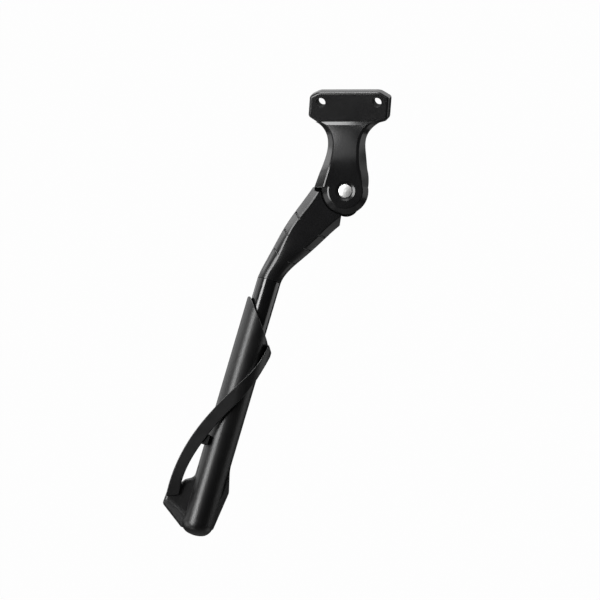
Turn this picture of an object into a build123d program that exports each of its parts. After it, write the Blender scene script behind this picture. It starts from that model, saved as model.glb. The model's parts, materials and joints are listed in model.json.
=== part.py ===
from build123d import *
import os
from math import cos, radians, sin, tan

# A left-hand bicycle kickstand that bolts to the frame through two holes. All sizes are in millimetres.
# X runs along the bolt line towards the rear of the bicycle, -Y points outboard and Z points up.
# The origin lies between the bolts on the plate's mounting face.

# Bolt plate: eight-sided, its sides sheared towards the front of the bicycle
bolt_spacing = 40.0
bolt_hole_d = 6.4
plate_thick = 8.4
plate_width = 56.9
plate_rise = 7.4
plate_drop = 15.7
plate_shear_deg = 7.7
left_clip_x = 6.2
left_clip_z = 2.9
right_clip_x = 7.4
right_clip_z = 4.6
plate_left_end = 10.0
plate_right_end = 13.2
plate_foot_half = 19.3
left_corner_r = 3.0
right_corner_r = 3.6
top_corner_r = 8.0
side_corner_r = 2.4
plate_edge_r = 1.8
bolt_hole_chamfer = 0.15

# Pivot: where it sits from the origin, and how its axis leans up (splay) and rearwards (toe)
pivot_x = -3.56
pivot_out = 20.0
pivot_drop = 60.4
pivot_splay_deg = 14.0
pivot_toe_deg = 14.0

# Forked lug and neck, seen along the pivot axis
lug_r = 16.2
lug_face_r = 11.5
front_cheek = 7.85
back_cheek = 5.85
edge_run = 0.9
neck_right_edge_run = 2.1
edge_slope_deg = 22.3
neck_flank_drop = 5.0
lug_flank_drop = 3.5
lug_back_chamfer = 1.4
neck_root_drop = 13.7
neck_root_step = 2.2
root_bevel_run = 2.4
root_bevel_drop = 0.72
neck_flat_top = 13.0
stop_height = 2.9
frame_relief = 1.0

# Rivet, bush and washers on the pivot axis
rivet_shank_d = 8.0
rivet_head_d = 9.2
rivet_head_rise = 0.35
rivet_dome_r = 14.0
rivet_tail_d = 12.0
rivet_tail_h = 2.2
rivet_tail_round = 1.5
recess_gap = 0.6
recess_depth = 1.6
dish_width = 1.7
dish_depth = 0.7
tail_washer_d = 16.0
tail_washer_thick = 1.2
bush_wall = 1.5
thrust_washer_d = 22.0
thrust_washer_thick = 0.6
running_gap = 0.05
press_gap = 0.01

# Tongue of the arm, its cam and its stop lobe
tongue_thick = 8.0
tongue_inset = 0.3
cam_gap = 0.9
lobe_rise = 2.0
lobe_d = 18.0
lobe_deg = -85.0
fold_deg = 105.0

# Detent plunger and spring in the neck
plunger_d = 7.9
plunger_length = 9.0
plunger_ride_gap = 0.3
detent_travel = 1.2
detent_clearance = 0.3
spring_d = 6.4
spring_length = 10.8
spring_wire = 0.9
spring_turns = 5

# Arm, from the fork to the round end that carries the tube
arm_half_thick = 9.5
arm_edge = 0.9
arm_edge_drop = 0.37
arm_end_slope_deg = 17.0
arm_end_ridge = -2.0
arm_side_deg = 261.2
fork_gap = 0.6
stop_gap = 0.1
lobe_gap = 0.35
seam_x = -52.7
seam_y = -62.1
gill_d = 1.4
gill_lead = 1.2
gill_stop = 0.8
gill_slant = 1.8
gill_shift = 0.9
spigot_length = 26.0
glue_gap = 0.05

# Leg tube
leg_lean_deg = 16.44
leg_kick_deg = 5.2
tube_d = 16.5
tube_wall = 1.8
tube_length = 144.0
tube_end_chamfer = 0.35

# Boot: sleeve, mitre, strap and spade foot, with heights measured up the leg from the sole
boot_fit = 0.3
sleeve_wall = 2.5
foot_room = 14.0
sole_thick = 25.6
mitre_height = 156.4
mitre_deg = 53.0
tip_flat = 1.706
mouth_wall = 1.5
mouth_depth = 22.8
tip_round = 1.2
rim_round = 0.5
sole_bulge = 1.2
sole_dome_r = 18.0
sole_edge_r = 8.0
strap_thick = 3.05
strap_sink = 0.25
strap_gap = 1.6
strap_lead = 0.6
strap_bend = 62.0
strap_dip = 8.0
strap_root_back_deg = -40.0
strap_root_front_deg = -8.0
strap_root_deg = -45.0
strap_root_share = 0.8
strap_top = 148.4
strap_foot = 19.0
strap_edge_r = 0.45
slit_depth = 2.6
slit_length = 22.0
loop_web_foot = 61.2
loop_web_top = 68.0
loop_web_reach = 2.4
loop_web_lap = 2.2
wing_front = 4.8
wing_back = 6.2
wing_round = 2.2
bevel_round = 8.0

# Spade foot from the front: places across the leg from its axis, and heights above the sole
wing_reach = 27.2
wing_heel_height = 14.4
wing_shoulder = 26.2
wing_shoulder_height = 29.6
wing_corner_r = 2.6
wing_toe = 10.4
wing_toe_height = 2.3
bevel_heel = 24.6
bevel_heel_height = 17.1
bevel_toe = 9.9
bevel_toe_height = 10.4
bevel_deg = 35.0
ledge_top = 46.0
ledge_root_height = 37.6
ledge_root_r = 5.0
ledge_end = 16.8
ledge_end_height = 34.4
ledge_end_r = 2.2
ledge_heel = 18.8
ledge_heel_height = 31.6
flare_top_height = 56.0
flare_bend_height = 50.0
flare_bend_r = 40.0
flare_reach = 15.0
flare_height = 34.0
flare_tip_r = 4.0
flare_toe = 11.6
flare_toe_height = 6.5
flare_toe_r = 2.0
flare_inset = 0.2
facet_front = 3.0
facet_run = 3.5
facet_deg = 49.0

# Clamp screw on the rear of the boot
clamp_height = 101.6
clamp_boss_d = 13.0
clamp_boss_rise = 3.2
insert_d = 8.0
screw_d = 6.0
screw_socket = 3.0
screw_socket_depth = 3.0
screw_tip_gap = 0.3
thread_gap = 0.05

edge_slope = tan(radians(edge_slope_deg))
edge_step = edge_run * edge_slope
tongue_half = tongue_thick / 2
tongue_r = lug_r - tongue_inset
lobe_offset = tongue_r + lobe_rise - lobe_d / 2
slot_half = tongue_half + running_gap + thrust_washer_thick
slot_r = tongue_r + cam_gap
lug_front = slot_half + front_cheek
lug_back = slot_half + back_cheek
rivet_hole_d = rivet_shank_d + 2 * running_gap
bush_d = rivet_hole_d + 2 * bush_wall
spring_seat = tongue_r + plunger_ride_gap + plunger_length
bore_top = spring_seat + spring_length
tube_r = tube_d / 2
sleeve_r = tube_r + boot_fit + sleeve_wall
sleeve_d = 2 * sleeve_r
strap_front = sleeve_r - strap_sink
strap_reach = 3 * sleeve_r
sleeve_height = mitre_height + (sleeve_r - tip_flat) * tan(radians(mitre_deg))
boot_drop = tube_length + foot_room + sole_thick
front_view = Plane(origin=(0, 0, 0), x_dir=(1, 0, 0), z_dir=(0, -1, 0))


def lean(lean_deg, kick_deg):
    """The direction down the leg, leaning left by one angle and towards the viewer by the other."""
    level = cos(radians(kick_deg))
    return Vector(-sin(radians(lean_deg)) * level, -cos(radians(lean_deg)) * level, sin(radians(kick_deg)))


def lean_across(lean_deg):
    """The direction across the leg, to the right."""
    return Vector(cos(radians(lean_deg)), -sin(radians(lean_deg)), 0)


# Hinge frame: Z along the pivot axis outboard, X level along the bolt line as seen down that axis
pivot_level = cos(radians(pivot_splay_deg))
pivot_axis = Vector(
    sin(radians(pivot_toe_deg)) * pivot_level,
    -cos(radians(pivot_toe_deg)) * pivot_level,
    sin(radians(pivot_splay_deg)),
)
bolt_line = Vector(1, 0, 0)
hinge_x = (bolt_line - pivot_axis * bolt_line.dot(pivot_axis)).normalized()
hinge = Plane(origin=(pivot_x, -pivot_out, -pivot_drop), x_dir=hinge_x, z_dir=pivot_axis)

# Height of the neck's root above the pivot, as the hinge frame sees it on the plate's front face
neck_top = (pivot_out - plate_thick) * hinge.y_dir.Y + (pivot_drop - neck_root_drop) * hinge.y_dir.Z

# Leg frame, inside the hinge frame: Z up the tube to the seam, X to the right, -Y towards the viewer
leg = Plane(
    origin=(seam_x, seam_y, 0),
    x_dir=lean_across(leg_lean_deg),
    z_dir=-lean(leg_lean_deg, leg_kick_deg),
)


def rod(diameter, bottom, top):
    """A cylinder on the local Z axis between two heights."""
    return Pos(0, 0, (bottom + top) / 2) * Cylinder(diameter / 2, top - bottom)


def taper(bottom_r, top_r, bottom, top):
    """A cone frustum on the local Z axis between two heights."""
    return Pos(0, 0, (bottom + top) / 2) * Cone(bottom_r, top_r, top - bottom)


def ring(outer_d, inner_d, bottom, top):
    """A flat ring on the local Z axis."""
    return rod(outer_d, bottom, top) - rod(inner_d, bottom - 1, top + 1)


def block(x_from, x_to, y_from, y_to, z_from, z_to):
    """A box between two corners."""
    middle = Pos((x_from + x_to) / 2, (y_from + y_to) / 2, (z_from + z_to) / 2)
    return middle * Box(x_to - x_from, y_to - y_from, z_to - z_from)


def closed_face(points):
    """A flat face bounded by straight runs between the points."""
    return make_face(Polyline(*points, close=True))


def bolt_plate():
    """The eight-sided plate with its two bolt holes, in the row frame."""
    shear = tan(radians(plate_shear_deg))

    def side(sign, height):
        return (sign * plate_width / 2 + shear * height, height)

    left_top = side(-1, plate_rise - left_clip_z)
    right_top = side(1, plate_rise - right_clip_z)
    left_low = side(-1, -plate_left_end)
    right_low = side(1, -plate_right_end)
    foot_shift = -shear * plate_drop
    outline = [
        left_top,
        (left_top[0] + left_clip_x, plate_rise),
        (right_top[0] - right_clip_x, plate_rise),
        right_top,
        right_low,
        (foot_shift + plate_foot_half, -plate_drop),
        (foot_shift - plate_foot_half, -plate_drop),
        left_low,
    ]
    plate = extrude(front_view * closed_face(outline), plate_thick)
    corner_rounds = [
        (left_low, left_corner_r),
        (right_low, right_corner_r),
        (left_top, side_corner_r),
        (right_top, side_corner_r),
        (outline[1], top_corner_r),
        (outline[2], top_corner_r),
    ]
    for corner, radius in corner_rounds:
        uprights = plate.edges().filter_by(Axis.Y)
        plate = fillet(uprights.sort_by_distance((corner[0], -plate_thick / 2, corner[1]))[0], radius)
    plate = fillet(plate.faces().sort_by(Axis.Y)[0].edges(), plate_edge_r)
    flare_r = bolt_hole_d / 2 + bolt_hole_chamfer
    hole = rod(bolt_hole_d, -1, plate_thick + 1)
    hole += taper(bolt_hole_d / 2, flare_r, plate_thick - bolt_hole_chamfer, plate_thick)
    for sign in (-1, 1):
        plate -= front_view * (Pos(sign * bolt_spacing / 2, 0) * hole)
    return plate


def neck_section(height, out_left, face_left, edge_right, out_right, right_run, flank_drop, face, tilt):
    """A slice across the neck: a raised face with a broken edge, two sloped flanks and square sides."""
    step = face - edge_step
    flank = step - flank_drop
    front = [
        (-out_left, flank),
        (-face_left - edge_run, step),
        (-face_left, face),
        (edge_right - right_run, face),
        (edge_right, face - right_run * edge_slope),
        (out_right, flank),
    ]
    points = [(x, height, z + tilt * x) for x, z in front]
    return closed_face(points + [(out_right, height, -lug_back), (-out_left, height, -lug_back)])


def neck():
    """The waisted neck, in the hinge frame: flat by the lug, then swept back to the plate."""
    flat_end = (17.6, 11.6, 10.9, 15.9)
    # Share of the flat length; left outline, left face, right edge and right outline
    flat_rows = [
        (0.0, (21.3, 14.6, 12.0, 16.1)),
        (0.4, (19.82, 13.4, 11.62, 16.4)),
        (0.7, (18.71, 12.5, 11.3, 16.3)),
        (1.0, flat_end),
    ]
    flat_sections = []
    for share, row in flat_rows:
        height = stop_height + share * (neck_flat_top - stop_height)
        right_run = edge_run + share * (neck_right_edge_run - edge_run)
        flank_drop = lug_flank_drop + share * (neck_flank_drop - lug_flank_drop)
        flat_sections.append(neck_section(height, *row, right_run, flank_drop, lug_front, 0))
    flat_part = loft(flat_sections)
    # The plate's front face as the hinge frame sees it sets where the swept part ends
    root_tilt = -hinge.x_dir.Y / pivot_axis.Y
    plate_face = (pivot_out - plate_thick - hinge.y_dir.Y * neck_top) / pivot_axis.Y
    fall = lug_front - plate_face - neck_root_step
    # Share of the swept length; the same four places; shares of fall and tilt
    rows = [
        (0.0, flat_end, 0.0, 0.0),
        (0.16, (15.3, 10.0, 9.8, 15.1), 0.045, 0.02),
        (0.36, (13.0, 8.5, 9.6, 14.5), 0.24, 0.10),
        (0.62, (11.9, 7.9, 10.5, 14.3), 0.56, 0.35),
        (0.83, (14.0, 10.1, 13.6, 17.4), 0.82, 0.70),
        (1.0, (20.5, 15.6, 20.2, 25.0), 1.0, 1.0),
    ]
    span = neck_top - neck_flat_top
    sections = []
    for share, row, fallen, tilted in rows:
        height = neck_flat_top + share * span
        face = lug_front - fallen * fall
        runs = (neck_right_edge_run, neck_flank_drop)
        sections.append(neck_section(height, *row, *runs, face, tilted * root_tilt))
    swept_part = loft(sections)
    root_edge = swept_part.edges().sort_by_distance((0, neck_top, lug_front - fall))[0]
    face = swept_part.faces().sort_by_distance((0, neck_top - root_bevel_run, lug_front - fall))[0]
    return flat_part + chamfer(root_edge, root_bevel_run, root_bevel_drop, reference=face)


def lug():
    """The round end of the fork: a stepped and bevelled disc on the pivot axis."""
    step = lug_front - edge_step
    flank = step - lug_flank_drop
    step_r = lug_face_r + edge_run
    disc = rod(2 * lug_r, -lug_back, flank)
    disc = chamfer(disc.edges().sort_by(Axis.Z)[0], lug_back_chamfer)
    return disc + taper(lug_r, step_r, flank, step) + taper(step_r, lug_face_r, step, lug_front)


def mounting_bracket():
    """The one-piece casting: plate, neck and forked lug, with its slot and bores."""
    hung = neck() + lug()
    hung -= rod(2 * slot_r, -slot_half, slot_half)
    # The slot opens to the right as far as the lobe on the tongue swings
    lobe_top = lobe_offset * sin(radians(lobe_deg + fold_deg)) + lobe_d / 2
    hung -= block(0, 2 * lug_r, 0, lobe_top + lobe_gap, -slot_half, slot_half)
    hung -= rod(rivet_hole_d, -2 * lug_back, 2 * lug_front)
    recess_r = rivet_head_d / 2 + recess_gap
    hung -= rod(2 * recess_r, lug_front - recess_depth, lug_front)
    hung -= taper(recess_r, recess_r + dish_width, lug_front - dish_depth, lug_front)
    hung -= Rot(-90, 0, 0) * rod(plunger_d + 2 * running_gap, tongue_r, bore_top)
    bracket = bolt_plate() + hinge.location * hung
    far = 4 * plate_width
    bracket -= block(-far, far, 0, far, -far, far)
    bracket -= block(-far, far, -frame_relief, far, -far, -plate_drop)
    return bracket


def pivot_rivet():
    """The steel rivet: a low domed head in the front recess and a peened head behind."""
    head_seat = lug_front - recess_depth
    tail_seat = -lug_back - tail_washer_thick
    head_top = lug_front + rivet_head_rise
    head = rod(rivet_head_d, head_seat, head_top) & Pos(0, 0, head_top - rivet_dome_r) * Sphere(rivet_dome_r)
    tail = rod(rivet_tail_d, tail_seat - rivet_tail_h, tail_seat)
    tail = fillet(tail.edges().sort_by(Axis.Z)[0], rivet_tail_round)
    return rod(rivet_shank_d, tail_seat, head_seat) + head + tail


def rivet_washer():
    """The washer under the rivet's peened head."""
    return ring(tail_washer_d, rivet_hole_d, -lug_back - tail_washer_thick, -lug_back)


def pivot_bush():
    """The plain bearing pressed into the tongue."""
    return ring(bush_d, rivet_hole_d, -tongue_half, tongue_half)


def thrust_washer(side):
    """A washer between the tongue and one cheek; side is 1 in front and -1 behind."""
    inner = side * (tongue_half + running_gap)
    outer = side * slot_half
    return ring(thrust_washer_d, rivet_hole_d, min(inner, outer), max(inner, outer))


def detent_plunger():
    """The round-nosed pin in the neck, drawn as it rides clear of the cam."""
    nose = tongue_r + plunger_ride_gap
    radius = plunger_d / 2
    pin = Pos(0, 0, nose + radius) * Sphere(radius) + rod(plunger_d, nose + radius, spring_seat)
    return Rot(-90, 0, 0) * pin


def detent_spring():
    """The coil spring between the plunger and the end of its bore."""
    rise = spring_length - spring_wire
    coil = Helix(rise / spring_turns, rise, (spring_d - spring_wire) / 2)
    start = Plane(origin=coil @ 0, z_dir=coil % 0)
    wire = sweep(start * Circle(spring_wire / 2), path=coil, is_frenet=True)
    return Rot(-90, 0, 0) * Pos(0, 0, spring_seat + spring_wire / 2) * wire


# Corners of a round slice, as angles from its right-hand side: face end, edge end and flank end
round_corners_deg = (75.0, 60.0, 20.0)


def bevelled_corners(half, run, deep, side):
    """A quarter of a bevelled slice: the face's end, the narrow edge beside it and the flank's outer end."""
    face_end = (half - run - arm_edge / 2, deep)
    edge_end = (half - run + arm_edge / 2, deep - arm_edge_drop)
    return [face_end, edge_end, (half, side)]


def round_corners(half, deep):
    """The same quarter of a round or oval slice."""
    return [(half * cos(radians(angle)), deep * sin(radians(angle))) for angle in round_corners_deg]


def eased_corners(half, run, deep, side):
    """The same quarter, midway between a bevelled and an oval slice."""
    pairs = zip(bevelled_corners(half, run, deep, side), round_corners(half, deep))
    return [((bevel[0] + oval[0]) / 2, (bevel[1] + oval[1]) / 2) for bevel, oval in pairs]


def arm_stations():
    """Slices of the arm from the fork to the seam: place, lean, quarter corners and roundness."""
    top = arm_half_thick
    # Share of the way to the seam, across and down
    rows = [
        (0.116, 0.063, 42.5, bevelled_corners(17.2, 4.9, top, 4.3), 0.03),
        (0.218, 0.158, 42.5, bevelled_corners(16.1, 4.9, top, 4.3), 0.03),
        (0.466, 0.387, 41.0, bevelled_corners(13.9, 4.7, top - 0.1, 4.2), 0.08),
        (0.636, 0.557, 40.0, bevelled_corners(12.0, 4.5, top - 0.5, 3.9), 0.4),
        (0.809, 0.739, 37.0, eased_corners(9.4, 4.7, top - 1.0, 3.4), 0.95),
        (0.920, 0.870, 29.5, round_corners(tube_r + 0.1, tube_r + 0.1), 1.0),
        (1.0, 1.0, leg_lean_deg, round_corners(tube_r, tube_r), 1.0),
    ]
    return [((seam_x * across, seam_y * down), *rest) for across, down, *rest in rows]


def bulge(start, end, span_deg, roundness):
    """The middle of a bulging side between two corners; its full bulge is an arc of span_deg."""
    chord = Vector(*end) - Vector(*start)
    outward = Vector(-chord.Y, chord.X).normalized()
    sagitta = roundness * chord.length / 2 * tan(radians(span_deg / 4))
    return (Vector(*start) + Vector(*end)) * 0.5 + outward * sagitta


def arm_section(place, lean_deg, quarter, roundness, kick_deg):
    """A twelve-sided slice whose sides bulge from flat (roundness 0) to a circle (roundness 1)."""
    right = quarter + [(x, -z) for x, z in reversed(quarter)]
    corners = right + [(-x, -z) for x, z in right]
    face_end, edge_end, flank_end = round_corners_deg
    spans = [face_end - edge_end, edge_end - flank_end, 2 * flank_end]
    spans += [edge_end - flank_end, face_end - edge_end, 180 - 2 * face_end]
    edges = []
    for start, end, span_deg in zip(corners, corners[1:] + corners[:1], spans * 2):
        edges.append(ThreePointArc(start, bulge(start, end, span_deg, roundness), end))
    plane = Plane(origin=(*place, 0), x_dir=lean_across(lean_deg), z_dir=lean(lean_deg, kick_deg))
    return plane * make_face(edges)


def gill(place, lean_deg, quarter, roundness, sign):
    """A round groove across one bevelled flank, its outer end slanting up the arm."""
    across = lean_across(lean_deg) * sign
    down = lean(lean_deg, 0)
    face_end, edge_end, flank_end = (Vector(*corner) for corner in quarter)
    crest = bulge(edge_end, flank_end, round_corners_deg[1] - round_corners_deg[2], roundness)
    slope = (flank_end - face_end).normalized()
    lift = crest - face_end - slope * (crest - face_end).dot(slope)
    centre = Vector(*place, 0) + down * gill_shift + across * lift.X + Vector(0, 0, lift.Y)
    inner = centre + across * face_end.X + Vector(0, 0, face_end.Y)
    outer = centre + across * flank_end.X + Vector(0, 0, flank_end.Y) - down * gill_slant
    reach = outer - inner
    axis = Plane(origin=inner, z_dir=reach)
    return axis.location * rod(gill_d, -gill_lead, reach.length - gill_stop)


def tongue():
    """The disc that turns in the fork, with its stop lobe and a detent notch for each place of the leg."""
    disc = rod(2 * tongue_r, -tongue_half, tongue_half)
    disc += Rot(0, 0, lobe_deg) * Pos(lobe_offset, 0) * rod(lobe_d, -tongue_half, tongue_half)
    notch_r = plunger_d / 2 + detent_clearance
    notch_bottom = tongue_r + plunger_ride_gap - detent_travel - detent_clearance
    for turn in (0, -fold_deg):
        notch = Pos(0, notch_bottom + notch_r, 0) * Cylinder(notch_r, 2 * tongue_thick)
        disc -= Rot(0, 0, turn) * notch
    return disc


def upper_arm():
    """The one-piece arm: tongue, bevelled shank with gills, round end and spigot."""
    stations = arm_stations()
    kicks = [0] * (len(stations) - 1) + [leg_kick_deg]
    shank = loft([arm_section(*station, kick) for station, kick in zip(stations, kicks)])
    far = 8 * arm_half_thick
    end = stop_height - stop_gap
    shank -= block(-far, far, end, far, -far, far)
    shank -= Pos(0, end, arm_end_ridge) * Rot(arm_end_slope_deg, 0, 0) * block(-far, far, 0, far, -far, far)
    shank -= Rot(0, 0, arm_side_deg) * block(-far, far, 0, far, -far, far)
    clear_d = 2 * (lug_r + fork_gap)
    shank -= rod(clear_d, tongue_half, far)
    shank -= rod(clear_d, -far, -tongue_half)
    for station in stations[2:5]:
        for sign in (-1, 1):
            shank -= gill(*station, sign)
    spigot_d = tube_d - 2 * tube_wall - 2 * glue_gap
    spigot = leg.location * rod(spigot_d, -spigot_length, spigot_length / 4)
    return shank + tongue() + spigot - rod(bush_d + 2 * press_gap, -far, far)


def leg_tube():
    """The plain tube, in the leg frame, with broken outer edges."""
    tube = chamfer(rod(tube_d, -tube_length, 0).edges(), tube_end_chamfer)
    return tube - rod(tube_d - 2 * tube_wall, -tube_length - 1, 1)


def strap_planform():
    """The strap's outline from the front: each point's place to the right and its share of the drop."""
    drop = strap_top - strap_foot
    upper = [
        (13.6, 0.0), (12.2, 0.073), (10.9, 0.125), (6.2, 0.229), (-0.4, 0.322), (-11.7, 0.481),
        (-20.7, 0.647), (-24.6, 0.76), (-26.4, 1.0),
    ]
    lower = [
        (-17.9, 0.972), (-18.4, 0.856), (-12.6, 0.671), (-2.6, 0.492), (7.4, 0.343), (10.4, 0.274),
        (16.2, 0.104), (19.0, 0.0),
    ]
    upper_edge = Spline(*[(across, strap_top - share * drop) for across, share in upper])
    lower_edge = Spline(*[(across, strap_top - share * drop) for across, share in lower])
    foot_end = Line(upper_edge @ 1, lower_edge @ 0)
    tip_end = Line(lower_edge @ 1, upper_edge @ 0)
    return make_face([upper_edge, foot_end, lower_edge, tip_end])


def strap_wrap():
    """The sheet's upper part: rooted behind, round the sleeve's right and front, then straight left."""
    inner_r = sleeve_r + strap_gap - strap_lead
    outer_r = inner_r + strap_thick
    centre = Vector(strap_lead, inner_r - strap_front)
    front_deg = 90.0

    def at(radius, angle_deg):
        return centre + Vector(cos(radians(angle_deg)), -sin(radians(angle_deg))) * radius

    def arc(radius, from_deg, to_deg):
        return ThreePointArc(at(radius, from_deg), at(radius, (from_deg + to_deg) / 2), at(radius, to_deg))

    outer_arc = arc(outer_r, strap_root_back_deg, front_deg)
    outer_run = Line(outer_arc @ 1, (-strap_reach, -strap_front - strap_thick))
    far_end = Line(outer_run @ 1, (-strap_reach, -strap_front))
    inner_arc = arc(inner_r, front_deg, strap_root_front_deg)
    inner_run = Line(far_end @ 1, inner_arc @ 0)
    root = at(inner_r, strap_root_deg) * strap_root_share
    root_front = Line(inner_arc @ 1, root)
    root_back = Line(root, outer_arc @ 0)
    section = make_face([outer_arc, outer_run, far_end, inner_run, inner_arc, root_front, root_back])
    return Pos(0, 0, strap_bend) * extrude(section, strap_top - strap_bend)


def strap_dip_sheet():
    """The sheet's lower part, bent back in an arc until its end sinks into the wing."""
    drop = strap_bend - strap_foot
    outer_r = (drop ** 2 + strap_dip ** 2) / (2 * strap_dip)
    outer_y = strap_front + strap_thick
    hoop = Rot(0, 90, 0) * ring(2 * outer_r, 2 * (outer_r - strap_thick), -strap_reach, 0)
    near = block(-strap_reach, 0, -2 * outer_y, 0, strap_foot, strap_bend)
    return Pos(0, outer_r - outer_y, strap_bend) * hoop & near


def strap():
    """The twisted strap: its outline cut out of the bent sheet, its slit closed behind."""
    sheet = strap_wrap() + strap_dip_sheet()
    band = sheet & extrude(front_view * strap_planform(), 2 * sleeve_d, both=True)
    band = fillet(band.edges().sort_by(SortBy.LENGTH)[-8:], strap_edge_r)
    slit_end = strap_top - slit_length
    return band + block(0, sleeve_r + strap_gap, slit_depth, 2 * slit_depth, slit_end, strap_top)


def front_prism(outline):
    """The outline, drawn from the front, pushed through the whole boot."""
    return extrude(front_view * closed_face(outline), sleeve_d, both=True)


def round_upright(solid, corner, radius):
    """The solid with its front-to-back edge nearest to a corner of its outline rounded."""
    uprights = solid.edges().filter_by(Axis.Y)
    return fillet(uprights.sort_by_distance((corner[0], 0, corner[1]))[0], radius)


def wing():
    """The broad left wing of the foot, blended into the column, with a ledge under the strap's loop."""
    ledge_root = (-sleeve_r, ledge_root_height)
    ledge_tip = (-ledge_end, ledge_end_height)
    shoulder = (-wing_shoulder, wing_shoulder_height)
    heel = (-wing_reach, wing_heel_height)
    outline = [
        (0, ledge_top),
        (-sleeve_r, ledge_top),
        ledge_root,
        ledge_tip,
        (-ledge_heel, ledge_heel_height),
        shoulder,
        heel,
        (-wing_toe, wing_toe_height),
        (0, wing_toe_height),
    ]
    web = block(-2 * wing_reach, 0, -wing_front, wing_back, 0, ledge_top) & front_prism(outline)
    web = round_upright(web, ledge_root, ledge_root_r)
    web = round_upright(web, ledge_tip, ledge_end_r)
    web = round_upright(web, shoulder, wing_corner_r)
    web = round_upright(web, heel, wing_corner_r)
    bevel_from = (-bevel_heel, bevel_heel_height)
    bevel_to = (-bevel_toe, bevel_toe_height)
    web -= slant_waste(bevel_from, bevel_to, wing_front, bevel_deg)
    ridge = ((-bevel_heel - bevel_toe) / 2, -wing_front, (bevel_heel_height + bevel_toe_height) / 2)
    web = fillet(web.edges().sort_by_distance(ridge)[0], bevel_round)
    front = web.faces().sort_by(Axis.Y)[0]
    rim = front.edges().filter_by(lambda edge: edge.center().X < -wing_toe)
    rim = rim.filter_by(lambda edge: edge.center().Z > bevel_heel_height)
    return fillet(rim, wing_round)


def slant_waste(start, end, front_y, tilt_deg):
    """What a slanted cut takes off: it meets the front face on a line and falls away to the line's right."""
    corner = Vector(start[0], -front_y, start[1])
    along = (Vector(end[0], -front_y, end[1]) - corner).normalized()
    front = Vector(0, -1, 0)
    tilt = radians(tilt_deg)
    far = 2 * wing_reach
    cut = Plane(origin=corner, x_dir=along, z_dir=front * cos(tilt) + along.cross(front) * sin(tilt))
    return cut.location * block(-far, far, -far, far, 0, far)


def flare():
    """The small flare on the right of the foot, with a slanted front facet."""
    side = sleeve_r - flare_inset
    bend = (side, flare_bend_height)
    tip = (flare_reach, flare_height)
    toe = (flare_toe, flare_toe_height)
    outline = [(0, flare_top_height), (0, 0), toe, tip, bend, (side, flare_top_height)]
    plate = front_prism(outline)
    for corner, radius in ((bend, flare_bend_r), (tip, flare_tip_r), (toe, flare_toe_r)):
        plate = round_upright(plate, corner, radius)
    plate &= block(0, 2 * flare_reach, -facet_front, wing_back, 0, flare_top_height)
    facet_from = (flare_toe - facet_run, flare_toe_height)
    facet_to = (flare_reach - facet_run, flare_height)
    return plate - slant_waste(facet_from, facet_to, facet_front, facet_deg)


def loop_web():
    """The small web that closes the top of the strap's loop against the column."""
    left = -sleeve_r - loop_web_reach
    right = -sleeve_r + loop_web_lap
    return block(left, right, -strap_front - strap_thick / 2, 0, loop_web_foot, loop_web_top)


def sleeve():
    """The boot's column with its domed sole and its rounded, mitred rim."""
    dome_centre = sole_dome_r - sole_bulge
    column = rod(sleeve_d, -sole_bulge, sleeve_height)
    column &= Pos(0, 0, dome_centre) * Sphere(sole_dome_r) + rod(2 * sleeve_d, dome_centre, sleeve_height)
    rounds = column.edges().filter_by(lambda edge: edge.is_closed)
    column = fillet(rounds.sort_by(Axis.Z)[0], sole_edge_r)
    column -= mitre_waste()
    column = fillet(column.edges().filter_by(Axis.Y), tip_round)
    rim = column.edges().filter_by(GeomType.ELLIPSE)
    return fillet(rim, rim_round)


def mitre_waste():
    """What the mitre takes off above the sleeve."""
    far = 4 * sleeve_d
    return Pos(0, 0, mitre_height) * Rot(0, mitre_deg, 0) * block(-far, far, -far, far, 0, far)


def foot_boot():
    """The one-piece moulding, in the boot frame: sleeve, strap, spade foot and clamp boss."""
    boss = Pos(0, 0, clamp_height) * Rot(-90, 0, 0) * rod(clamp_boss_d, 0, sleeve_r + clamp_boss_rise)
    boot = sleeve() + wing() + flare() + boss + loop_web() + (strap() - mitre_waste())
    far = 2 * sleeve_height
    boot -= rod(tube_d + 2 * boot_fit, sole_thick, far)
    boot -= rod(sleeve_d - 2 * mouth_wall, mitre_height - mouth_depth, far)
    insert_hole = Rot(-90, 0, 0) * rod(insert_d + 2 * thread_gap, 0, 2 * sleeve_d)
    return boot - Pos(0, 0, clamp_height) * insert_hole


def clamp_insert():
    """The brass insert in the boss."""
    tube = ring(insert_d, screw_d + 2 * thread_gap, tube_r + 2 * boot_fit, sleeve_r + clamp_boss_rise)
    return Pos(0, 0, clamp_height) * Rot(-90, 0, 0) * tube


def clamp_screw():
    """The grub screw, its tip just off the tube."""
    head = sleeve_r + clamp_boss_rise
    hexagon = RegularPolygon(screw_socket / 2, 6, major_radius=False)
    screw = rod(screw_d, tube_r + screw_tip_gap, head)
    screw -= Pos(0, 0, head - screw_socket_depth) * extrude(hexagon, screw_socket_depth)
    return Pos(0, 0, clamp_height) * Rot(-90, 0, 0) * screw


to_hinge = hinge.location
to_leg = hinge.location * leg.location
to_boot = to_leg * Pos(0, 0, -boot_drop)
nodes = {
    "mounting_bracket": mounting_bracket(),
    "pivot_rivet": to_hinge * pivot_rivet(),
    "rivet_washer": to_hinge * rivet_washer(),
    "pivot_bush": to_hinge * pivot_bush(),
    "front_thrust_washer": to_hinge * thrust_washer(1),
    "rear_thrust_washer": to_hinge * thrust_washer(-1),
    "detent_plunger": to_hinge * detent_plunger(),
    "detent_spring": to_hinge * detent_spring(),
    "upper_arm": to_hinge * upper_arm(),
    "leg_tube": to_leg * leg_tube(),
    "foot_boot": to_boot * foot_boot(),
    "clamp_insert": to_boot * clamp_insert(),
    "clamp_screw": to_boot * clamp_screw(),
}

os.makedirs("parts", exist_ok=True)
for name, solid in nodes.items():
    export_step(solid, os.path.join("parts", name + ".step"))
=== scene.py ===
import json
from math import pi

import bpy
from mathutils import Matrix, Vector


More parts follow.
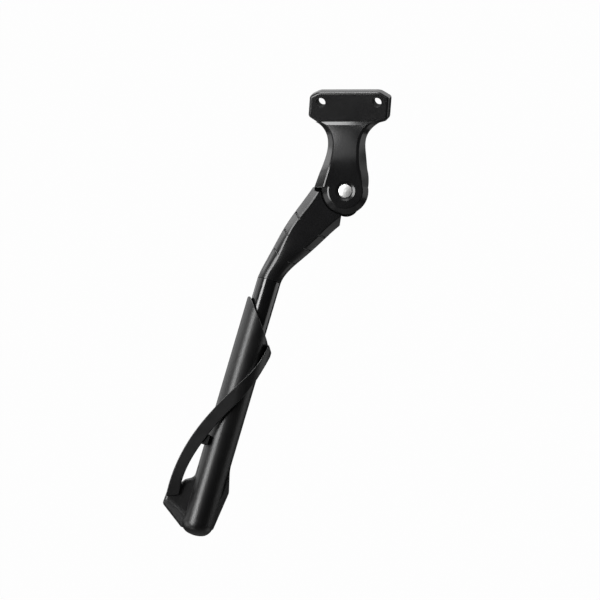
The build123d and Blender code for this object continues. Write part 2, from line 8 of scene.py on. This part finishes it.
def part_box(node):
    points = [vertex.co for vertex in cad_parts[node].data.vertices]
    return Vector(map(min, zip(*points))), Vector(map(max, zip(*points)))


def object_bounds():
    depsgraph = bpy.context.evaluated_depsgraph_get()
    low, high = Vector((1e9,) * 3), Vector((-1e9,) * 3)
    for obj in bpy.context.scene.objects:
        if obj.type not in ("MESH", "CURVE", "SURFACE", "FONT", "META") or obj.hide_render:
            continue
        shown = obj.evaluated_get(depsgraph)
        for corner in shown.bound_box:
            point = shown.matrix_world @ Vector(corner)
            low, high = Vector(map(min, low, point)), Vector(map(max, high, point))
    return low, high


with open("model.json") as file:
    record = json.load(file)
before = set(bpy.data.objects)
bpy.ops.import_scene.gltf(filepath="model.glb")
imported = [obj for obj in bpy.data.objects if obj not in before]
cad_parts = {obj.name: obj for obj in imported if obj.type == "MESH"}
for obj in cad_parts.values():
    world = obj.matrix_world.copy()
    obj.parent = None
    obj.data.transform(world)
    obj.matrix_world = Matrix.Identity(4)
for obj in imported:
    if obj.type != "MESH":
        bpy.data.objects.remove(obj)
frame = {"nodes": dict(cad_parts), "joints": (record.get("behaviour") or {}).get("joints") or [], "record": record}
cad_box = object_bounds()

# Mounting bracket
# One aluminium die casting: the two-hole plate, the waisted neck and the forked lug. Two bolts hold it
# to the bicycle. It is blasted and powder-coated satin black, so its skin is faintly pebbled and uneven
# in gloss.
pebble_detail = 2.0
blotch_detail = 3.0


def new_group(name, inputs, outputs):
    """A shader node group with inputs of the given kinds and value outputs, and its two end nodes."""
    group = bpy.data.node_groups.new(name, "ShaderNodeTree")
    for label, kind in inputs.items():
        group.interface.new_socket(label, in_out="INPUT", socket_type=kind)
    for label in outputs:
        group.interface.new_socket(label, in_out="OUTPUT", socket_type="NodeSocketFloat")
    return group, group.nodes.new("NodeGroupInput"), group.nodes.new("NodeGroupOutput")


def skin_group():
    """Fine pebbling and slow blotches that every black finish on the stand shares."""
    sizes = {"Pebbles": "NodeSocketFloat", "Blotches": "NodeSocketFloat"}
    group, given, out = new_group("black_skin", sizes, ["Pebble", "Blotch"])
    place = group.nodes.new("ShaderNodeTexCoord")
    for size, mask, detail in (("Pebbles", "Pebble", pebble_detail), ("Blotches", "Blotch", blotch_detail)):
        noise = group.nodes.new("ShaderNodeTexNoise")
        noise.inputs["Detail"].default_value = detail
        group.links.new(place.outputs["Object"], noise.inputs["Vector"])
        group.links.new(given.outputs[size], noise.inputs["Scale"])
        group.links.new(noise.outputs["Fac"], out.inputs[mask])
    return group


black_skin = skin_group()


def use_group(tree, group, **values):
    """Places a shared group in a material, with its own values."""
    node = tree.nodes.new("ShaderNodeGroup")
    node.node_tree = group
    for label, value in values.items():
        node.inputs[label].default_value = value
    return node


def spread(tree, mask, low, high, start=0.0, end=1.0):
    """A value that runs from low to high as a mask runs from start to end."""
    span = tree.nodes.new("ShaderNodeMapRange")
    span.inputs["From Min"].default_value = start
    span.inputs["From Max"].default_value = end
    span.inputs["To Min"].default_value = low
    span.inputs["To Max"].default_value = high
    tree.links.new(mask, span.inputs["Value"])
    return span.outputs["Result"]


def tint(tree, mask, low, high):
    """A colour that runs from low to high with a mask."""
    mix = tree.nodes.new("ShaderNodeMix")
    mix.data_type = "RGBA"
    mix.inputs["A"].default_value = (*low, 1)
    mix.inputs["B"].default_value = (*high, 1)
    tree.links.new(mask, mix.inputs["Factor"])
    return mix.outputs["Result"]


def black_finish(name, tones, roughness, pebbles_per_m, blotches_per_m, pebble_height_m, ior):
    """A black material whose tone, gloss and relief follow the shared skin."""
    material = bpy.data.materials.new(name)
    material.use_nodes = True
    tree = material.node_tree
    shader = tree.nodes["Principled BSDF"]
    shader.inputs["IOR"].default_value = ior
    skin = use_group(tree, black_skin, Pebbles=pebbles_per_m, Blotches=blotches_per_m)
    relief = tree.nodes.new("ShaderNodeBump")
    relief.inputs["Distance"].default_value = pebble_height_m
    tree.links.new(tint(tree, skin.outputs["Blotch"], *tones), shader.inputs["Base Color"])
    tree.links.new(spread(tree, skin.outputs["Blotch"], *roughness), shader.inputs["Roughness"])
    tree.links.new(skin.outputs["Pebble"], relief.inputs["Height"])
    tree.links.new(relief.outputs["Normal"], shader.inputs["Normal"])
    return material


def dress(node, material):
    """Puts the material on a node of the frame."""
    for slot in frame["nodes"][node].material_slots:
        slot.material = material


powder_coat = black_finish(
    "satin_powder_coat",
    tones=((0.005, 0.005, 0.0053), (0.009, 0.009, 0.0093)),
    roughness=(0.20, 0.27),
    pebbles_per_m=700.0,
    blotches_per_m=90.0,
    pebble_height_m=0.000002,
    ior=1.5,
)
dress("mounting_bracket", powder_coat)

# The coat is thin and dull inside the two bolt holes, which stand apart along X
mm = 0.001
bolts = next(mount["dims"] for mount in frame["record"]["mounts"] if mount["name"] == "frame_bolts")
bolt_x = bolts["spacing_x_mm"] * mm / 2
bore_margin = 0.1 * mm
bore_reach = bolts["hole_r_mm"] * mm + bore_margin
bore_roughness = 0.75


def work_out(tree, kind, operation, feeds, result="Value"):
    """What a maths node makes of its feeds, which are sockets or plain values."""
    node = tree.nodes.new(kind)
    node.operation = operation
    for socket, feed in zip(node.inputs, feeds):
        if isinstance(feed, bpy.types.NodeSocket):
            tree.links.new(feed, socket)
        else:
            socket.default_value = feed
    return node.outputs[result]


def dull_bores(tree):
    """Swaps the coat's roughness for a higher one within the bolt holes' reach."""
    gloss = tree.nodes["Principled BSDF"].inputs["Roughness"]
    place = tree.nodes.new("ShaderNodeTexCoord").outputs["Object"]
    across_bolts = work_out(tree, "ShaderNodeVectorMath", "MULTIPLY", (place, (1, 0, 1)), "Vector")
    one_side = work_out(tree, "ShaderNodeVectorMath", "ABSOLUTE", (across_bolts,), "Vector")
    off_bolt = work_out(tree, "ShaderNodeVectorMath", "DISTANCE", (one_side, (bolt_x, 0, 0)))
    in_bore = work_out(tree, "ShaderNodeMath", "LESS_THAN", (off_bolt, bore_reach))
    dulled = tree.nodes.new("ShaderNodeMix")
    dulled.inputs["B"].default_value = bore_roughness
    tree.links.new(in_bore, dulled.inputs["Factor"])
    tree.links.new(gloss.links[0].from_socket, dulled.inputs["A"])
    tree.links.new(dulled.outputs["Result"], gloss)


dull_bores(powder_coat.node_tree)

# Detent plunger and spring
# A hardened steel pin, ground bright, and a coil of spring wire left in its blue-grey drawn finish.
# They drop into the neck's bore from the fork before the arm goes in.
joints = {joint["name"]: joint for joint in frame["joints"]}
pivot = Vector(joints["leg_pivot"]["pos_m"])
neck_axis = Vector(joints["detent_slide"]["axis"]).normalized()
ring_wobble = 1.5
patches_per_m = 700.0


def marks_group():
    """Fine rings round a turned piece's axis, and soft patches."""
    sizes = {"Place": "NodeSocketVector", "Rings": "NodeSocketFloat", "Patches": "NodeSocketFloat"}
    group, given, out = new_group("turning_marks", sizes, ["Ring", "Patch"])
    rings = group.nodes.new("ShaderNodeTexWave")
    rings.wave_type = "RINGS"
    rings.rings_direction = "Z"
    rings.inputs["Distortion"].default_value = ring_wobble
    patches = group.nodes.new("ShaderNodeTexNoise")
    for pattern, size, mask in ((rings, "Rings", "Ring"), (patches, "Patches", "Patch")):
        group.links.new(given.outputs["Place"], pattern.inputs["Vector"])
        group.links.new(given.outputs[size], pattern.inputs["Scale"])
        group.links.new(pattern.outputs["Fac"], out.inputs[mask])
    return group


turning_marks = marks_group()


def turned_metal(name, tones, roughness, centre, axis, rings_per_m, ring_height_m):
    """A metal whose turning marks ring the given axis, and whose tone and gloss are slightly patchy."""
    material = bpy.data.materials.new(name)
    material.use_nodes = True
    tree = material.node_tree
    shader = tree.nodes["Principled BSDF"]
    shader.inputs["Metallic"].default_value = 1.0
    place = tree.nodes.new("ShaderNodeTexCoord")
    lathe = tree.nodes.new("ShaderNodeMapping")
    turn = axis.to_track_quat("Z", "Y").to_matrix().transposed()
    lathe.inputs["Rotation"].default_value = turn.to_euler()
    lathe.inputs["Location"].default_value = -(turn @ centre)
    marks = use_group(tree, turning_marks, Rings=rings_per_m, Patches=patches_per_m)
    relief = tree.nodes.new("ShaderNodeBump")
    relief.inputs["Distance"].default_value = ring_height_m
    tree.links.new(place.outputs["Object"], lathe.inputs["Vector"])
    tree.links.new(lathe.outputs["Vector"], marks.inputs["Place"])
    tree.links.new(tint(tree, marks.outputs["Patch"], *tones), shader.inputs["Base Color"])
    tree.links.new(spread(tree, marks.outputs["Patch"], *roughness), shader.inputs["Roughness"])
    tree.links.new(marks.outputs["Ring"], relief.inputs["Height"])
    tree.links.new(relief.outputs["Normal"], shader.inputs["Normal"])
    return material


ground_steel = turned_metal(
    "ground_steel",
    tones=((0.56, 0.57, 0.58), (0.66, 0.67, 0.68)),
    roughness=(0.16, 0.26),
    centre=pivot,
    axis=neck_axis,
    rings_per_m=500.0,
    ring_height_m=0.0000005,
)
spring_wire = turned_metal(
    "drawn_spring_wire",
    tones=((0.20, 0.21, 0.23), (0.30, 0.31, 0.33)),
    roughness=(0.28, 0.42),
    centre=pivot,
    axis=neck_axis,
    rings_per_m=900.0,
    ring_height_m=0.0000005,
)
dress("detent_plunger", ground_steel)
dress("detent_spring", spring_wire)

# Upper arm
# A second aluminium casting in the same coat: the tongue, the bevelled shank with its gills, and the
# round end. Its spigot is bonded into the tube.
dress("upper_arm", powder_coat)

# Pivot bush and thrust washers
# A turned brass bush is pressed into the tongue, and a thin steel washer runs on each side of it.
pivot_axis = Vector(joints["leg_pivot"]["axis"]).normalized()
turned_brass = turned_metal(
    "turned_brass",
    tones=((0.66, 0.46, 0.19), (0.76, 0.55, 0.25)),
    roughness=(0.24, 0.36),
    centre=pivot,
    axis=pivot_axis,
    rings_per_m=700.0,
    ring_height_m=0.000001,
)
washer_steel = turned_metal(
    "stamped_washer_steel",
    tones=((0.60, 0.60, 0.59), (0.72, 0.72, 0.71)),
    roughness=(0.30, 0.45),
    centre=pivot,
    axis=pivot_axis,
    rings_per_m=400.0,
    ring_height_m=0.000001,
)
dress("pivot_bush", turned_brass)
for washer in ("front_thrust_washer", "rear_thrust_washer"):
    dress(washer, washer_steel)

# Pivot rivet and its washer
# A zinc-plated steel rivet: its low domed head sits in the lug's dished recess, and its tail is peened
# over a plain washer behind.
bright_zinc = turned_metal(
    "bright_zinc_plate",
    tones=((0.86, 0.86, 0.85), (0.92, 0.92, 0.91)),
    roughness=(0.50, 0.60),
    centre=pivot,
    axis=pivot_axis,
    rings_per_m=300.0,
    ring_height_m=0.000002,
)
dress("pivot_rivet", bright_zinc)
dress("rivet_washer", washer_steel)

# Leg tube
# Drawn aluminium tube in a smooth black gloss coat, bonded to the arm's spigot.
tube_coat = black_finish(
    "gloss_tube_coat",
    tones=((0.002, 0.002, 0.0023), (0.004, 0.004, 0.0043)),
    roughness=(0.15, 0.20),
    pebbles_per_m=300.0,
    blotches_per_m=120.0,
    pebble_height_m=0.0000008,
    ior=1.65,
)
dress("leg_tube", tube_coat)

# Foot boot
# One glass-filled nylon moulding with a fine eroded grain: the sleeve, the twisted strap and the spade foot.
# Near the sole it is scuffed, so the grain is deeper there and a little shinier.
grained_nylon = black_finish(
    "grained_nylon",
    tones=((0.0012, 0.0012, 0.0014), (0.003, 0.003, 0.0032)),
    roughness=(0.34, 0.42),
    pebbles_per_m=1300.0,
    blotches_per_m=150.0,
    pebble_height_m=0.00002,
    ior=1.6,
)
leg_axis = Vector(joints["foot_slide"]["axis"]).normalized()
scuff_reach = 0.055
scuff_grain = 7.0
scuff_polish = 0.85
sole_reach = max(vertex.co.dot(leg_axis) for vertex in frame["nodes"]["foot_boot"].data.vertices)


def scuff(tree, socket, gain):
    """Multiplies what feeds a socket by a gain that goes from 1 to its full amount at the sole."""
    place = tree.nodes.new("ShaderNodeTexCoord").outputs["Object"]
    along = work_out(tree, "ShaderNodeVectorMath", "DOT_PRODUCT", (place, leg_axis))
    wear = spread(tree, along, 1.0, gain, sole_reach - scuff_reach, sole_reach)
    worn = work_out(tree, "ShaderNodeMath", "MULTIPLY", (socket.links[0].from_socket, wear))
    tree.links.new(worn, socket)


nylon_tree = grained_nylon.node_tree
scuff(nylon_tree, nylon_tree.nodes["Bump"].inputs["Height"], scuff_grain)
scuff(nylon_tree, nylon_tree.nodes["Principled BSDF"].inputs["Roughness"], scuff_polish)
dress("foot_boot", grained_nylon)

# Clamp insert and screw
# A brass insert moulded into the boss behind the boot, and a blackened grub screw that grips the tube.
clamp_centre = sum(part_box("clamp_screw"), Vector()) / 2
across_leg = pivot_axis.cross(leg_axis).normalized()
clamp_axis = leg_axis.cross(across_leg).normalized()
insert_brass = turned_metal(
    "insert_brass",
    tones=((0.60, 0.42, 0.17), (0.72, 0.52, 0.23)),
    roughness=(0.26, 0.38),
    centre=clamp_centre,
    axis=clamp_axis,
    rings_per_m=600.0,
    ring_height_m=0.000001,
)
black_oxide = turned_metal(
    "black_oxide_steel",
    tones=((0.03, 0.03, 0.033), (0.06, 0.06, 0.064)),
    roughness=(0.30, 0.44),
    centre=clamp_centre,
    axis=clamp_axis,
    rings_per_m=500.0,
    ring_height_m=0.000001,
)
dress("clamp_insert", insert_brass)
dress("clamp_screw", black_oxide)

# Studio
# A long lens looks down the pivot's axis, and soft lamps stand round the leg. The room is dark round
# the lens, with a white backdrop behind the stand and a white floor well below the foot.
scene = bpy.context.scene
scene.view_settings.view_transform = "Standard"
frame_width = 0.4164
lens_distance = 12.0
lens_far = 200.0
sensor_width = 36.0
aim_right = -0.0313
aim_up = -0.0756

toward = pivot_axis
right = (Vector((1, 0, 0)) - toward * toward.x).normalized()
up = toward.cross(right)
aim = pivot + right * aim_right + up * aim_up


def facing(place, sight, upright):
    """A placement at a point whose -Z axis looks along sight, with its Y axis near upright."""
    back = -sight.normalized()
    side = upright.cross(back).normalized()
    turn = Matrix((side, back.cross(side), back)).transposed()
    return Matrix.Translation(place) @ turn.to_4x4()


camera_data = bpy.data.cameras.new("photo_camera")
camera_data.sensor_width = sensor_width
camera_data.lens = sensor_width * lens_distance / frame_width
camera_data.clip_end = lens_far
camera = bpy.data.objects.new("photo_camera", camera_data)
camera.matrix_world = facing(aim + toward * lens_distance, -toward, up)
scene.collection.objects.link(camera)
scene.camera = camera

leg_lean = (0.28, 0.95, 0)


def panel(name, heading, distance, size, radiance, upright=leg_lean):
    """A soft lamp on a heading from the aim, given in the lens's right, up and toward axes."""
    lamp = bpy.data.lights.new(name, "AREA")
    lamp.shape = "RECTANGLE"
    lamp.size, lamp.size_y = size
    lamp.energy = radiance * pi * size[0] * size[1]
    axes = Matrix((right, up, toward)).transposed()
    out = (axes @ Vector(heading)).normalized()
    stand = bpy.data.objects.new(name, lamp)
    stand.matrix_world = facing(aim + out * distance, -out, axes @ Vector(upright))
    stand.visible_camera = False
    scene.collection.objects.link(stand)


# A tall strip draws the highlight that runs down the leg
panel("strip", heading=(-0.657, 0.088, 0.749), distance=1.6, size=(0.52, 1.3), radiance=11.5)

# On the left, for the flanks of the neck, the arm, the tube and the boot, and for the foot's bevel
panel("left_mid", heading=(-0.90, 0.208, -0.382), distance=1.3, size=(1.25, 0.42), radiance=0.9)
panel("left_front", heading=(-0.90, 0.44, 0.04), distance=1.34, size=(0.8, 0.40), radiance=0.75)
panel("left_low", heading=(-0.95, -0.31, 0.05), distance=1.2, size=(0.8, 0.6), radiance=1.4)
panel(
    "left_neck", heading=(-0.805, 0.515, -0.293), distance=1.35, size=(0.75, 0.30), radiance=2.6,
    upright=(0.515, 0.857, 0),
)
panel(
    "left_high", heading=(-0.736, 0.669, -0.103), distance=1.5, size=(0.8, 0.40), radiance=2.5,
    upright=(0.669, 0.743, 0),
)
panel(
    "low_left", heading=(-0.62, -0.71, 0.34), distance=1.3, size=(0.4, 0.4), radiance=1.5,
    upright=(-0.62, 0.71, 0.34),
)

# Above, for the neck's face and the ledge where it leaves the plate
panel(
    "top_panel", heading=(0.018, 0.715, 0.699), distance=1.63, size=(0.9, 0.52), radiance=1.2,
    upright=(0, 0.70, -0.715),
)
panel(
    "overhead", heading=(-0.197, 0.933, 0.303), distance=1.3, size=(0.8, 0.6), radiance=11.5,
    upright=(0.54, 0.41, -0.74),
)

# On the right, for the far flanks
panel("right_panel", heading=(0.975, 0.086, -0.205), distance=1.22, size=(1.0, 0.87), radiance=1.15)
panel(
    "right_low", heading=(0.707, -0.669, -0.23), distance=1.5, size=(0.8, 0.45), radiance=0.55,
    upright=(0.669, 0.743, 0),
)

# The lens sees the room white, and glossy faces see it white where the backdrop lies behind the stand
room_glow = 0.03
backdrop_edge = 0.45
backdrop_full = 0.85
backdrop_rise = 0.3
backdrop_heading = (up * backdrop_rise - toward).normalized()
world = bpy.data.worlds.new("white_room")
scene.world = world
world.use_nodes = True
sky = world.node_tree
background = sky.nodes["Background"]
background.inputs["Color"].default_value = (1, 1, 1, 1)
rays = sky.nodes.new("ShaderNodeLightPath").outputs
outward = sky.nodes.new("ShaderNodeTexCoord").outputs["Generated"]
nearness = work_out(sky, "ShaderNodeVectorMath", "DOT_PRODUCT", (outward, backdrop_heading))
behind = spread(sky, nearness, 0.0, 1.0, backdrop_edge, backdrop_full)
mirrored = work_out(sky, "ShaderNodeMath", "MULTIPLY", (rays["Is Glossy Ray"], behind))
seen = work_out(sky, "ShaderNodeMath", "MAXIMUM", (rays["Is Camera Ray"], rays["Is Transmission Ray"]))
whitened = work_out(sky, "ShaderNodeMath", "MAXIMUM", (seen, mirrored))
shown = work_out(sky, "ShaderNodeMath", "MAXIMUM", (whitened, room_glow))
sky.links.new(shown, background.inputs["Strength"])

# The floor glows white to the lens, and keeps a trace of its own shading and shadow
floor_drop = 2.5
floor_half = 40.0
floor_glow = 0.985
floor_tone = (0.8, 0.8, 0.8, 1)
floor_z = cad_box[0].z - floor_drop
floor_mesh = bpy.data.meshes.new("floor")
floor_mesh.from_pydata(
    [(x * floor_half, y * floor_half, floor_z) for x, y in ((-1, -1), (1, -1), (1, 1), (-1, 1))],
    [],
    [(0, 1, 2, 3)],
)
floor = bpy.data.objects.new("floor", floor_mesh)
scene.collection.objects.link(floor)
floor_paint = bpy.data.materials.new("white_floor")
floor_paint.use_nodes = True
paint = floor_paint.node_tree
matt = paint.nodes["Principled BSDF"]
matt.inputs["Base Color"].default_value = floor_tone
matt.inputs["Roughness"].default_value = 1.0
glow = paint.nodes.new("ShaderNodeEmission")
mixed = paint.nodes.new("ShaderNodeMixShader")
to_lens = paint.nodes.new("ShaderNodeLightPath").outputs["Is Camera Ray"]
share = work_out(paint, "ShaderNodeMath", "MULTIPLY", (to_lens, floor_glow))
paint.links.new(share, mixed.inputs["Fac"])
paint.links.new(matt.outputs["BSDF"], mixed.inputs[1])
paint.links.new(glow.outputs["Emission"], mixed.inputs[2])
paint.links.new(mixed.outputs["Shader"], paint.nodes["Material Output"].inputs["Surface"])
floor_mesh.materials.append(floor_paint)
